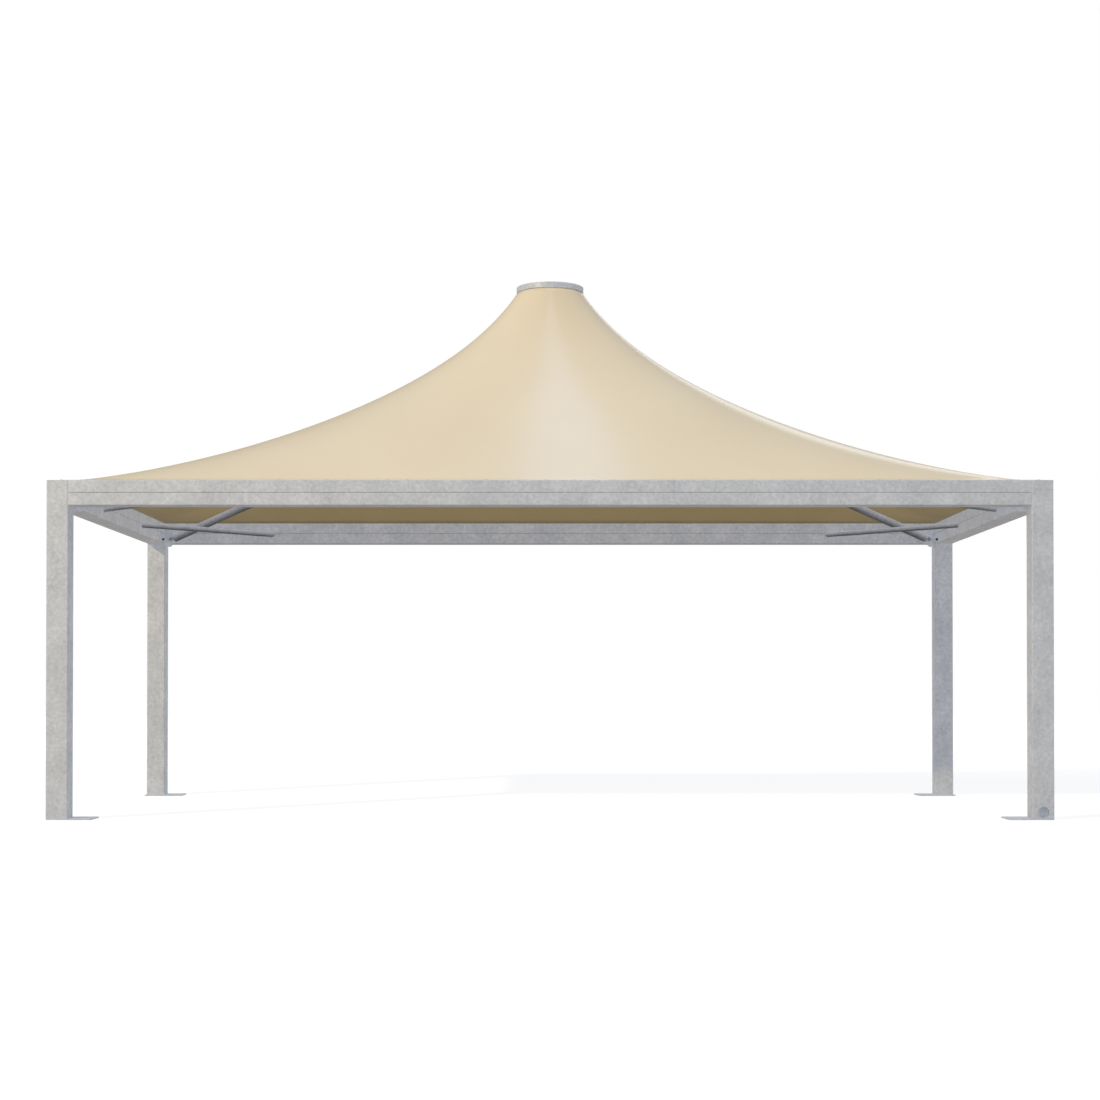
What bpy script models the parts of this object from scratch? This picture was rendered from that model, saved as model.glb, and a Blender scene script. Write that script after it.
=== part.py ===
"""Garden gazebo: a galvanised steel frame on four posts with a stretched membrane canopy that
rises to a round crown. Metres, +Z up, origin on the ground under the crown, front towards -Y."""

import math

import bmesh
import bpy
import numpy as np
from mathutils import Matrix, Vector

# Whole object
WIDTH = 8.0
DEPTH = 4.0
FRAME_TOP = 2.70
CROWN_TOP = 4.65
GAP = 0.0003

# Frame of posts and stacked beams
POST_SIDE = 0.175
BEAM_HEIGHT = 0.10
EDGE_ROUND = 0.006
PLATE_X = 0.36
PLATE_Y = 0.28
PLATE_THICK = 0.012
OUTLET_RADIUS = 0.045
OUTLET_DEPTH = 0.045

# Knee braces, level tubes across each corner
KNEE_RADIUS = 0.024
KNEE_LEG = 1.06
KNEE_HEIGHT = 2.589

# Sloping struts from the four corners to the hub under the crown
STRUT_RADIUS = 0.038
STRUT_LOW = 2.51
STRUT_RISE = 1.41
STRUT_START = 0.12
HUB_RADIUS = 0.11
HUB_LOW = 3.77
HUB_HIGH = 4.01
MAST_RADIUS = 0.05

# Joint of each strut: a gusset plate in the corner between the two cheeks of the strut
GUSSET_THICK = 0.014
CHEEK_THICK = 0.008
CHEEK_GAP = 0.0004
GUSSET_LOW = 2.466
BOLT_ALONG = 0.085
BOLT_HEIGHT = 2.541
BOLT_RADIUS = 0.010
BOLT_HEAD_RADIUS = 0.0165
BOLT_HEAD_HEIGHT = 0.012

# Crown
CROWN_RADIUS = 0.30
CROWN_HEIGHT = 0.05
CROWN_WALL = 0.006
CROWN_PLATE_THICK = 0.008
CAP_EDGE = 0.026
CAP_DOME = 0.008

# Canopy
RAIL_WIDTH = 0.05
RAIL_THICK = 0.008
SHEET = 0.004
COLLAR_RADIUS = 0.295
NET_ROWS = 18
NET_SHORT = 6
NET_LONG = 12
# Pull round the net against the pull down it, at the collar and at the eaves
HOOP_PULL_COLLAR = 20.0
HOOP_PULL_EAVES = 1.9

HALF_X = WIDTH / 2
HALF_Y = DEPTH / 2
INNER_X = HALF_X - POST_SIDE
INNER_Y = HALF_Y - POST_SIDE
BEAM_LINE_X = HALF_X - POST_SIDE / 2
BEAM_LINE_Y = HALF_Y - POST_SIDE / 2
CROWN_LOW = CROWN_TOP - CROWN_HEIGHT
STRUT_PLAN = math.hypot(INNER_X, INNER_Y)
CORNERS = {
    "front_left": (-1, -1),
    "front_right": (1, -1),
    "back_left": (-1, 1),
    "back_right": (1, 1),
}

for old in list(bpy.data.objects):
    bpy.data.objects.remove(old, do_unlink=True)
parts = bpy.data.collections.new("garden_gazebo")
cutters = bpy.data.collections.new("cutters")
bpy.context.scene.collection.children.link(parts)
bpy.context.scene.collection.children.link(cutters)


def make_material(name, colour, roughness, metallic):
    material = bpy.data.materials.new(name)
    material.use_nodes = True
    shader = material.node_tree.nodes["Principled BSDF"]
    shader.inputs["Base Color"].default_value = (*colour, 1)
    shader.inputs["Roughness"].default_value = roughness
    shader.inputs["Metallic"].default_value = metallic
    material.diffuse_color = (*colour, 1)
    return material


GALVANISED = make_material("galvanised_steel", (0.52, 0.53, 0.54), 0.55, 0.35)
ALUMINIUM = make_material("aluminium_rail", (0.68, 0.68, 0.67), 0.35, 0.9)
BOLT_STEEL = make_material("zinc_bolt_steel", (0.48, 0.48, 0.47), 0.40, 0.8)
MEMBRANE = make_material("beige_membrane", (0.74, 0.66, 0.48), 0.50, 0.0)


def add_part(name, shape, material, collection=parts):
    """Makes an object of a bmesh or a mesh and gives it its material."""
    if isinstance(shape, bmesh.types.BMesh):
        mesh = bpy.data.meshes.new(name)
        bmesh.ops.recalc_face_normals(shape, faces=shape.faces)
        shape.to_mesh(mesh)
        shape.free()
    else:
        mesh = shape
    part = bpy.data.objects.new(name, mesh)
    collection.objects.link(part)
    if material:
        mesh.materials.append(material)
    return part


def add_cutter(name, shape):
    cutter = add_part(name, shape, None, cutters)
    cutter.hide_render = True
    cutter.display_type = "WIRE"
    return cutter


def block(low, high, edge=0.0):
    """A box between two corners, its edges rounded where a radius is given."""
    shape = bmesh.new()
    low, high = Vector(low), Vector(high)
    middle, size = (low + high) / 2, high - low
    place = Matrix.Translation(middle) @ Matrix.Diagonal((*size, 1))
    bmesh.ops.create_cube(shape, size=1, matrix=place)
    if edge:
        bmesh.ops.bevel(
            shape, geom=shape.edges, offset=edge, segments=2, profile=0.5, affect="EDGES"
        )
    return shape


def rod(start, end, radius, sides):
    """A round bar between two points."""
    shape = bmesh.new()
    start, end = Vector(start), Vector(end)
    along = end - start
    place = Matrix.Translation((start + end) / 2) @ along.to_track_quat("Z", "Y").to_matrix().to_4x4()
    bmesh.ops.create_cone(
        shape, cap_ends=True, segments=sides, radius1=radius, radius2=radius,
        depth=along.length, matrix=place,
    )
    return shape


def trim(shape, point, outward):
    """Cuts off what lies beyond a plane and closes the cut."""
    everything = shape.verts[:] + shape.edges[:] + shape.faces[:]
    cut = bmesh.ops.bisect_plane(
        shape, geom=everything, plane_co=point, plane_no=outward, clear_outer=True
    )
    edges = [item for item in cut["geom_cut"] if isinstance(item, bmesh.types.BMEdge)]
    bmesh.ops.edgeloop_fill(shape, edges=edges)


def boolean(part, operation, other):
    step = part.modifiers.new(operation.lower(), "BOOLEAN")
    step.operation = operation
    step.object = other


def turned(name, profile, material, steps=48):
    """A turned piece from (radius, height) points that run down its outer side."""
    shape = bmesh.new()
    points = [shape.verts.new((radius, 0, height)) for radius, height in profile]
    for first, second in zip(points, points[1:]):
        shape.edges.new((first, second))
    if profile[0][0] > 0:
        shape.edges.new((points[-1], points[0]))
    mesh = bpy.data.meshes.new(name)
    shape.to_mesh(mesh)
    shape.free()
    part = add_part(name, mesh, material)
    screw = part.modifiers.new("turn", "SCREW")
    screw.steps = screw.render_steps = steps
    screw.use_merge_vertices = True
    screw.merge_threshold = 0.00001
    return part


def corner_frame(side_x, side_y):
    """Axes of one corner's upright plane: along the strut in plan, square to it, and the corner."""
    along = Vector((-side_x * INNER_X, -side_y * INNER_Y, 0)).normalized()
    across = Vector((0, 0, 1)).cross(along)
    return along, across, Vector((side_x * INNER_X, side_y * INNER_Y, 0))


def upright_plate(side_x, side_y, outline, inner, outer):
    """A plate in the upright plane of a corner: outline of (distance, height), between two offsets."""
    along, across, corner = corner_frame(side_x, side_y)
    shape = bmesh.new()
    loops = [
        [shape.verts.new(corner + along * s + across * offset + Vector((0, 0, z))) for s, z in outline]
        for offset in (inner, outer)
    ]
    for loop in loops:
        shape.faces.new(loop)
    for i in range(len(outline)):
        j = (i + 1) % len(outline)
        shape.faces.new((loops[0][i], loops[0][j], loops[1][j], loops[1][i]))
    bmesh.ops.recalc_face_normals(shape, faces=shape.faces)
    return shape


def posts_and_plates():
    for corner, (side_x, side_y) in CORNERS.items():
        outer, inner = (side_x * HALF_X, side_y * HALF_Y), (side_x * INNER_X, side_y * INNER_Y)
        low = (min(outer[0], inner[0]), min(outer[1], inner[1]), PLATE_THICK + GAP)
        high = (max(outer[0], inner[0]), max(outer[1], inner[1]), FRAME_TOP)
        post = add_part(f"{corner}_post", block(low, high, EDGE_ROUND), GALVANISED)
        if corner == "front_right":
            mouth = (side_x * BEAM_LINE_X, -HALF_Y - POST_SIDE, PLATE_THICK + 0.003 + OUTLET_RADIUS)
            inside = (mouth[0], -HALF_Y + OUTLET_DEPTH, mouth[2])
            boolean(post, "DIFFERENCE", add_cutter("outlet_cutter", rod(mouth, inside, OUTLET_RADIUS, 24)))
        far = (side_x * (HALF_X - PLATE_X), side_y * (HALF_Y - PLATE_Y))
        low = (min(outer[0], far[0]), min(outer[1], far[1]), 0)
        high = (max(outer[0], far[0]), max(outer[1], far[1]), PLATE_THICK)
        add_part(f"{corner}_base_plate", block(low, high), GALVANISED)


def beams():
    for level, low in (("lower", FRAME_TOP - 2 * BEAM_HEIGHT), ("upper", FRAME_TOP - BEAM_HEIGHT)):
        bottom = low + (GAP if level == "upper" else 0)
        top = low + BEAM_HEIGHT
        for side, sign in (("front", -1), ("back", 1)):
            ys = sorted((sign * INNER_Y, sign * HALF_Y))
            shape = block((-INNER_X + GAP, ys[0], bottom), (INNER_X - GAP, ys[1], top), EDGE_ROUND)
            add_part(f"{side}_{level}_beam", shape, GALVANISED)
        for side, sign in (("left", -1), ("right", 1)):
            xs = sorted((sign * INNER_X, sign * HALF_X))
            shape = block((xs[0], -INNER_Y + GAP, bottom), (xs[1], INNER_Y - GAP, top), EDGE_ROUND)
            add_part(f"{side}_{level}_beam", shape, GALVANISED)


def clamp_rails():
    """Flat bars along the middle of the beams that hold the hem of the membrane."""
    half = RAIL_WIDTH / 2
    low, high = FRAME_TOP + GAP, FRAME_TOP + GAP + RAIL_THICK
    for side, sign in (("front", -1), ("back", 1)):
        ys = sorted((sign * (BEAM_LINE_Y - half), sign * (BEAM_LINE_Y + half)))
        reach = BEAM_LINE_X + half
        add_part(f"{side}_clamp_rail", block((-reach, ys[0], low), (reach, ys[1], high)), ALUMINIUM)
    for side, sign in (("left", -1), ("right", 1)):
        xs = sorted((sign * (BEAM_LINE_X - half), sign * (BEAM_LINE_X + half)))
        reach = BEAM_LINE_Y - half - GAP
        add_part(f"{side}_clamp_rail", block((xs[0], -reach, low), (xs[1], reach, high)), ALUMINIUM)


def knee_braces():
    for corner, (side_x, side_y) in CORNERS.items():
        at_side = Vector((side_x * INNER_X, side_y * (INNER_Y - KNEE_LEG), KNEE_HEIGHT))
        at_long = Vector((side_x * (INNER_X - KNEE_LEG), side_y * INNER_Y, KNEE_HEIGHT))
        reach = (at_long - at_side).normalized() * (2 * KNEE_RADIUS)
        shape = rod(at_side - reach, at_long + reach, KNEE_RADIUS, 24)
        trim(shape, (side_x * (INNER_X - GAP), 0, 0), (side_x, 0, 0))
        trim(shape, (0, side_y * (INNER_Y - GAP), 0), (0, side_y, 0))
        add_part(f"{corner}_knee_brace", shape, GALVANISED)


def strut_height(distance):
    """Height of a strut's axis at a level distance from the inner corner."""
    return STRUT_LOW + STRUT_RISE * distance / STRUT_PLAN


def struts_and_gussets():
    gusset_outline = (
        (-0.03, GUSSET_LOW), (0.066, GUSSET_LOW), (0.110, 2.497), (0.100, 2.600), (-0.03, 2.645)
    )
    cheek_outline = (
        (0.0445, 2.505), (0.075, 2.488), (0.150, 2.522), (0.190, 2.540), (0.175, 2.606), (0.077, 2.640)
    )
    half = GUSSET_THICK / 2
    for corner, (side_x, side_y) in CORNERS.items():
        along, across, inner_corner = corner_frame(side_x, side_y)

        def spot(distance, height, offset=0.0):
            return inner_corner + along * distance + across * offset + Vector((0, 0, height))

        bolt_reach = half + CHEEK_GAP + CHEEK_THICK + BOLT_HEAD_HEIGHT + GAP
        hole = rod(
            spot(BOLT_ALONG, BOLT_HEIGHT, -2 * bolt_reach), spot(BOLT_ALONG, BOLT_HEIGHT, 2 * bolt_reach),
            BOLT_RADIUS + GAP, 16,
        )
        hole_cutter = add_cutter(f"{corner}_bolt_hole", hole)

        gusset = upright_plate(side_x, side_y, gusset_outline, -half, half)
        trim(gusset, (side_x * (INNER_X - GAP), 0, 0), (side_x, 0, 0))
        trim(gusset, (0, side_y * (INNER_Y - GAP), 0), (0, side_y, 0))
        gusset = add_part(f"{corner}_gusset", gusset, GALVANISED)
        boolean(gusset, "DIFFERENCE", hole_cutter)

        end = STRUT_PLAN - HUB_RADIUS - GAP
        shape = rod(
            spot(STRUT_START, strut_height(STRUT_START)), spot(STRUT_PLAN, strut_height(STRUT_PLAN)),
            STRUT_RADIUS, 24,
        )
        trim(shape, spot(end, 0), along)
        strut = add_part(f"{corner}_strut", shape, GALVANISED)
        inside = half + CHEEK_GAP
        for name, offset in (("near", inside), ("far", -inside - CHEEK_THICK)):
            cheek = upright_plate(side_x, side_y, cheek_outline, offset, offset + CHEEK_THICK)
            boolean(strut, "UNION", add_cutter(f"{corner}_{name}_cheek", cheek))
        boolean(strut, "DIFFERENCE", hole_cutter)

        shank = rod(
            spot(BOLT_ALONG, BOLT_HEIGHT, -bolt_reach + 0.001),
            spot(BOLT_ALONG, BOLT_HEIGHT, bolt_reach - 0.001), BOLT_RADIUS, 16,
        )
        bolt = add_part(f"{corner}_strut_bolt", shank, BOLT_STEEL)
        for name, sign in (("head", 1), ("nut", -1)):
            inner_end = sign * (bolt_reach - BOLT_HEAD_HEIGHT)
            head = rod(
                spot(BOLT_ALONG, BOLT_HEIGHT, inner_end), spot(BOLT_ALONG, BOLT_HEIGHT, sign * bolt_reach),
                BOLT_HEAD_RADIUS, 6,
            )
            boolean(bolt, "UNION", add_cutter(f"{corner}_bolt_{name}", head))


def centre_and_crown():
    hub_profile = ((0, HUB_HIGH), (HUB_RADIUS, HUB_HIGH), (HUB_RADIUS, HUB_LOW), (0, HUB_LOW))
    turned("centre_hub", hub_profile, GALVANISED)
    plate_low = CROWN_LOW + 0.002
    plate_high = plate_low + CROWN_PLATE_THICK
    mast_low, mast_high = HUB_HIGH + GAP, plate_low - GAP
    mast_profile = ((0, mast_high), (MAST_RADIUS, mast_high), (MAST_RADIUS, mast_low), (0, mast_low))
    turned("mast", mast_profile, GALVANISED, 32)
    inside = CROWN_RADIUS - CROWN_WALL
    rim = inside - GAP
    plate_profile = ((0, plate_high), (rim, plate_high), (rim, plate_low), (0, plate_low))
    turned("crown_plate", plate_profile, GALVANISED, 64)
    turned(
        "crown_ring",
        ((inside, CROWN_TOP), (CROWN_RADIUS, CROWN_TOP), (CROWN_RADIUS, CROWN_LOW), (inside, CROWN_LOW)),
        GALVANISED, 64,
    )
    cap_low = plate_high + GAP
    edge_top = cap_low + CAP_EDGE
    dome = [(rim * (1 - i / 4), edge_top + CAP_DOME * (1 - (1 - i / 4) ** 2)) for i in range(4, -1, -1)]
    turned("crown_cap", (*dome, (rim, cap_low), (0, cap_low)), GALVANISED, 64)


def membrane_net(rows, short, long, collar_height, eave_x, eave_y):
    """Quarter of the membrane as a pulled net: rows from the collar down to the eaves, columns from
    the middle of the short side over the corner to the middle of the long side. Each inner knot lies
    at the mean of its neighbours, weighted by their pull, which gives a smooth saddle shape."""
    columns = short + long
    corner_turn = math.atan2(eave_y, eave_x)
    over_long = np.linspace(corner_turn, math.pi / 2, long + 1)[1:]
    turns = np.append(np.linspace(0, corner_turn, short + 1), over_long)
    collar = np.column_stack([
        COLLAR_RADIUS * np.cos(turns), COLLAR_RADIUS * np.sin(turns), np.full(columns + 1, collar_height)
    ])
    eaves = np.column_stack([
        np.append(np.full(short + 1, eave_x), np.linspace(eave_x, 0, long + 1)[1:]),
        np.append(np.linspace(0, eave_y, short + 1), np.full(long, eave_y)),
        np.full(columns + 1, FRAME_TOP + GAP),
    ])
    fineness = (columns / rows / 2) ** 2
    knots = (rows - 1) * (columns + 1)
    mirror_signs = {-1: (1, -1, 1), columns + 1: (-1, 1, 1)}
    net = np.zeros((rows + 1, columns + 1, 3))
    net[0], net[rows] = collar, eaves
    for axis in range(3):
        pulls = np.zeros((knots, knots))
        loads = np.zeros(knots)
        for row in range(1, rows):
            hoop = fineness * HOOP_PULL_COLLAR * (HOOP_PULL_EAVES / HOOP_PULL_COLLAR) ** (row / rows)
            for column in range(columns + 1):
                knot = (row - 1) * (columns + 1) + column
                pulls[knot, knot] = 2 + 2 * hoop
                for other in (row - 1, row + 1):
                    if 0 < other < rows:
                        pulls[knot, (other - 1) * (columns + 1) + column] -= 1
                    else:
                        loads[knot] += net[other, column, axis]
                for other in (column - 1, column + 1):
                    sign = mirror_signs.get(other, (1, 1, 1))[axis]
                    inside = min(max(other, -other), 2 * columns - other)
                    pulls[knot, (row - 1) * (columns + 1) + inside] -= hoop * sign
        net[1:rows, :, axis] = np.linalg.solve(pulls, loads).reshape(rows - 1, columns + 1)
    return net


def whole_round(net):
    """The quarter net mirrored into closed rows all the way round."""
    flip_x, flip_y = np.array((-1, 1, 1)), np.array((1, -1, 1))
    right_back = net
    left_back = (net * flip_x)[:, ::-1][:, 1:]
    left_front = (net * flip_x * flip_y)[:, 1:]
    right_front = (net * flip_y)[:, ::-1][:, 1:-1]
    return np.concatenate([right_back, left_back, left_front, right_front], axis=1)


def canopy():
    """The membrane as one shell, its underside on the pulled net and its thickness outwards."""
    half_rail = RAIL_WIDTH / 2
    eave_x = BEAM_LINE_X - half_rail - SHEET
    eave_y = BEAM_LINE_Y - half_rail - SHEET
    collar_height = CROWN_LOW - GAP - SHEET * 0.8
    net = whole_round(membrane_net(NET_ROWS, NET_SHORT, NET_LONG, collar_height, eave_x, eave_y))
    shape = bmesh.new()
    grid = [[shape.verts.new(point) for point in row] for row in net]
    around = len(grid[0])
    for upper, lower in zip(grid, grid[1:]):
        for i in range(around):
            j = (i + 1) % around
            shape.faces.new((upper[i], lower[i], lower[j], upper[j]))
    mesh = bpy.data.meshes.new("canopy")
    shape.to_mesh(mesh)
    shape.free()
    sheet = add_part("canopy", mesh, MEMBRANE)
    wall = sheet.modifiers.new("thickness", "SOLIDIFY")
    wall.thickness = SHEET
    wall.offset = 1


posts_and_plates()
beams()
clamp_rails()
knee_braces()
struts_and_gussets()
centre_and_crown()
canopy()
for part in parts.objects:
    if part.type == "MESH":
        part.data.shade_smooth()
        part.data.set_sharp_from_angle(angle=math.radians(35))
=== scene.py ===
"""Looks of the garden gazebo: a galvanised steel frame of square posts and stacked beams, with one
stretched membrane that rises to a round crown. Metres, +Z up, the front towards -Y."""

import math

import bmesh
import bpy
import numpy as np
from mathutils import Matrix, Vector


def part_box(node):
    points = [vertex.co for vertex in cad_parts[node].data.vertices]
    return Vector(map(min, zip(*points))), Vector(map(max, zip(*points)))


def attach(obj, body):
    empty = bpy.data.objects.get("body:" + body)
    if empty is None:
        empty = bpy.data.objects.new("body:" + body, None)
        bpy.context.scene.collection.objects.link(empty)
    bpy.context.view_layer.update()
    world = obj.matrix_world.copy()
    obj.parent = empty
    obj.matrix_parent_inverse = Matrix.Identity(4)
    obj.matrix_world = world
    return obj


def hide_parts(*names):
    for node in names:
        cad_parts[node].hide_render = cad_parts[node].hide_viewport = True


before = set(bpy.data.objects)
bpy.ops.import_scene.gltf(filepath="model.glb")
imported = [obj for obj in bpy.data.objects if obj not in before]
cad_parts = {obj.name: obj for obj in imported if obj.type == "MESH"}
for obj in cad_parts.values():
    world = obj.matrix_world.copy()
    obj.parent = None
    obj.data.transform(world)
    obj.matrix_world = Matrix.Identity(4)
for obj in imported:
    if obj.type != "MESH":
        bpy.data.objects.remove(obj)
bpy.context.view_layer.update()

# Camera. It stands 17 m in front of the middle of the gazebo, a metre above the ground and almost
# level, with its frame shifted upwards. The focal length is the one that the two frames give.
PHOTO_SIDE = 1100
FOCAL_PIXELS = 1920
SENSOR = 36.0
CAMERA_PLACE = (0, -17.23, 0.976)
CAMERA_PITCH = 0.71
CAMERA_SHIFT = 0.112

camera_data = bpy.data.cameras.new("camera")
camera_data.sensor_width = SENSOR
camera_data.lens = SENSOR * FOCAL_PIXELS / PHOTO_SIDE
camera_data.shift_y = CAMERA_SHIFT
camera = bpy.data.objects.new("camera", camera_data)
camera.location = CAMERA_PLACE
camera.rotation_euler = (math.radians(90 + CAMERA_PITCH), 0, 0)
bpy.context.scene.collection.objects.link(camera)
bpy.context.scene.camera = camera
bpy.context.scene.view_settings.view_transform = "Standard"


# Light. A low lamp stands far off at the left in front, warm on the steel and paler on the membrane
# and the floor. Two domes give the cool light from above and the warmer light from the ground. Two
# softboxes, one behind on the right and one overhead, shine along the membrane.
class Signal:
    """An output in a node tree. Sums, differences and products of signals add Math nodes."""

    def __init__(self, tree, output):
        self.tree = tree
        self.output = output

    def node(self, kind, settings, values, output=0):
        """A new node of the same tree: its settings first, then the values or links of its sockets."""
        made = self.tree.nodes.new(kind)
        for name, setting in settings.items():
            if name == "stops":
                elements = made.color_ramp.elements
                while len(elements) < len(setting):
                    elements.new(1)
                for element, (place, colour) in zip(elements, setting):
                    element.position = place
                    element.color = (*colour, 1)
            else:
                setattr(made, name, setting)
        for name, value in values.items():
            if isinstance(value, Signal):
                self.tree.links.new(value.output, made.inputs[name])
            else:
                made.inputs[name].default_value = value
        return Signal(self.tree, made.outputs[output])

    def into(self, socket):
        self.tree.links.new(self.output, socket)

    def ramp(self, stops):
        return self.node("ShaderNodeValToRGB", {"stops": stops}, {0: self})

    def blend(self, first, second):
        """A colour between two others, where this signal is the share of the second."""
        shares = {"Factor": self, 6: first, 7: second}
        return self.node("ShaderNodeMix", {"data_type": "RGBA"}, shares, output=2)

    def math(self, operation, first, second=0.0):
        return self.node("ShaderNodeMath", {"operation": operation}, {0: first, 1: second})

    def __add__(self, other):
        return self.math("ADD", self, other)

    __radd__ = __add__

    def __sub__(self, other):
        return self.math("SUBTRACT", self, other)

    def __rsub__(self, other):
        return self.math("SUBTRACT", other, self)

    def __mul__(self, other):
        return self.math("MULTIPLY", self, other)

    __rmul__ = __mul__


SKY_STOPS = (
    (0.0, (0.08, 0.075, 0.065)), (0.49, (0.08, 0.075, 0.065)), (0.52, (0.13, 0.14, 0.155)),
    (1.0, (0.15, 0.16, 0.18)),
)
MIRRORED_STOPS = (
    (0.0, (0.66, 0.69, 0.74)), (0.55, (0.62, 0.65, 0.70)), (0.78, (0.40, 0.42, 0.45)),
    (0.92, (0.34, 0.31, 0.26)), (1.0, (0.34, 0.31, 0.26)),
)
MIRRORED_LOW = (
    (0.0, (0.04, 0.035, 0.03)), (0.27, (0.05, 0.045, 0.04)), (0.40, (0.82, 0.82, 0.85)),
    (1.0, (0.82, 0.82, 0.85)),
)
LOW_TOP = 0.12
LOW_END = 0.06
LAMP_PLACE = (-26.3, -28.9, 18.4)
LAMP_RADIUS = 0.5
LAMPS = {
    "warm_lamp": {"power": 28200, "colour": (1.0, 0.825, 0.48)},
    "pale_lamp": {"power": 27900, "colour": (1.0, 0.933, 0.765)},
}
DOMES = {
    "dome_above": {"turn": 0, "power": 3.12, "colour": (0.76, 0.86, 1.05)},
    "dome_below": {"turn": 180, "power": 1.65, "colour": (1.0, 0.98, 0.97)},
}
DOME_ANGLE = 175.0
SOFTBOXES = {
    "softbox_behind": {
        "place": (10.0, 26.0, 17.0), "aim": (2.5, -1.0, 3.0), "size": (8.0, 6.0), "power": 170,
        "colour": (0.9, 0.95, 1.0),
    },
    "softbox_above": {
        "place": (0.3, 1.0, 14.0), "aim": (0.3, 0.9, 3.5), "size": (1.4, 34.0), "power": 400,
        "colour": (0.35, 0.55, 0.9),
    },
}

world = bpy.data.worlds.new("studio")
world.use_nodes = True
world.node_tree.nodes.clear()
towards = Signal(world.node_tree, world.node_tree.nodes.new("ShaderNodeTexCoord").outputs["Generated"])
height = towards.node("ShaderNodeSeparateXYZ", {}, {0: towards}, output=2)
sky = (height * 0.5 + 0.5).ramp(SKY_STOPS)
backwards = towards.node("ShaderNodeSeparateXYZ", {}, {0: towards}, output=1)
mirrored = (backwards * 0.5 + 0.5).ramp(MIRRORED_STOPS)
mirrored_low = (height * 0.5 + 0.5).ramp(MIRRORED_LOW)
low = height.node("ShaderNodeMapRange", {}, {"Value": height, "From Min": LOW_TOP, "From Max": LOW_END})
glossy = sky.node("ShaderNodeLightPath", {}, {}, output="Is Glossy Ray")
sky = glossy.blend(sky, low.blend(mirrored, mirrored_low))
lighting = sky.node("ShaderNodeBackground", {}, {"Color": sky})
backdrop = sky.node("ShaderNodeBackground", {}, {"Color": (1, 1, 1, 1)})
seen = sky.node("ShaderNodeLightPath", {}, {}, output="Is Camera Ray")
either = sky.node("ShaderNodeMixShader", {}, {0: seen, 1: lighting, 2: backdrop})
ending = world.node_tree.nodes.new("ShaderNodeOutputWorld")
either.into(ending.inputs["Surface"])
bpy.context.scene.world = world


def new_light(name, kind, settings, receivers):
    """A light that shines on what its collection of receivers says."""
    data = bpy.data.lights.new(name, kind)
    data.energy = settings["power"]
    data.color = settings["colour"]
    light = bpy.data.objects.new(name, data)
    light.light_linking.receiver_collection = receivers
    bpy.context.scene.collection.objects.link(light)
    return light


# What each light reaches, and what the domes pass through. The upper one passes through the beams too.
in_pale_light = bpy.data.collections.new("in_pale_light")
out_of_warm_light = bpy.data.collections.new("out_of_warm_light")
let_through = bpy.data.collections.new("let_through")
let_through_above = bpy.data.collections.new("let_through_above")
dark_below = bpy.data.collections.new("dark_below")
dark_above = bpy.data.collections.new("dark_above")
both_domes = (let_through, let_through_above)

for name, settings in LAMPS.items():
    reach = in_pale_light if name == "pale_lamp" else out_of_warm_light
    lamp = new_light(name, "POINT", settings, reach)
    lamp.data.shadow_soft_size = LAMP_RADIUS
    lamp.location = LAMP_PLACE
    lamp.visible_camera = False

for name, settings in DOMES.items():
    below = name == "dome_below"
    dome = new_light(name, "SUN", settings, dark_below if below else dark_above)
    dome.light_linking.blocker_collection = let_through if below else let_through_above
    dome.data.angle = math.radians(DOME_ANGLE)
    dome.rotation_euler = (math.radians(settings["turn"]), 0, 0)
    dome.visible_glossy = False

for name, settings in SOFTBOXES.items():
    softbox = new_light(name, "AREA", settings, dark_above)
    softbox.data.shape = "RECTANGLE"
    softbox.data.size, softbox.data.size_y = settings["size"]
    softbox.location = settings["place"]
    outwards = Vector(settings["place"]) - Vector(settings["aim"])
    softbox.rotation_euler = outwards.to_track_quat("Z", "Y").to_euler()
    softbox.visible_camera = False

# Floor. A wide sheet just below the base plates that is nearly white by itself and takes the lamps'
# light and the shadow. It shows only from above, and throws no light back.
FLOOR_SIDE = 160.0
FLOOR_DEPTH = 0.0015
FLOOR_GLOW = (0.862, 0.98)
GLOW_REACH = (7.0, 20.0)
FLOOR_WARM = (0.005, 0.021)
FLOOR_TONE = (0.5, 0.54, 0.66)


def leave_out(piece, *linkings):
    """Leaves a piece out of what holds a dome's light back, or of what a light reaches."""
    for linking in linkings:
        linking.objects.link(piece)
        for entry in linking.collection_objects:
            entry.light_linking.link_state = "EXCLUDE"


def new_material(name):
    """A material with a plain shader, with the piece's own coordinates as a first signal."""
    material = bpy.data.materials.new(name)
    material.use_nodes = True
    tree = material.node_tree
    place = Signal(tree, tree.nodes.new("ShaderNodeTexCoord").outputs["Object"])
    return material, tree.nodes["Principled BSDF"], place


floor_material, floor_surface, place = new_material("pale_floor")
floor_surface.inputs["Base Color"].default_value = (*FLOOR_TONE, 1)
floor_surface.inputs["Roughness"].default_value = 1
floor_surface.inputs["Specular IOR Level"].default_value = 0
floor_surface.inputs["Emission Strength"].default_value = 1
away = place.node("ShaderNodeVectorMath", {"operation": "LENGTH"}, {0: place}, output="Value")
spread = {
    "Value": away, "From Min": GLOW_REACH[0], "From Max": GLOW_REACH[1],
    "To Min": FLOOR_GLOW[0], "To Max": FLOOR_GLOW[1],
}
glow = away.node("ShaderNodeMapRange", {}, spread)
parts = {0: glow, 1: glow - FLOOR_WARM[0], 2: glow - FLOOR_WARM[1]}
glow.node("ShaderNodeCombineColor", {}, parts).into(floor_surface.inputs["Emission Color"])
from_below = place.node("ShaderNodeNewGeometry", {}, {}, output="Backfacing")
clear = place.node("ShaderNodeBsdfTransparent", {}, {})
upper = Signal(floor_material.node_tree, floor_surface.outputs[0])
one_sided = place.node("ShaderNodeMixShader", {}, {0: from_below, 1: upper, 2: clear})
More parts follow.
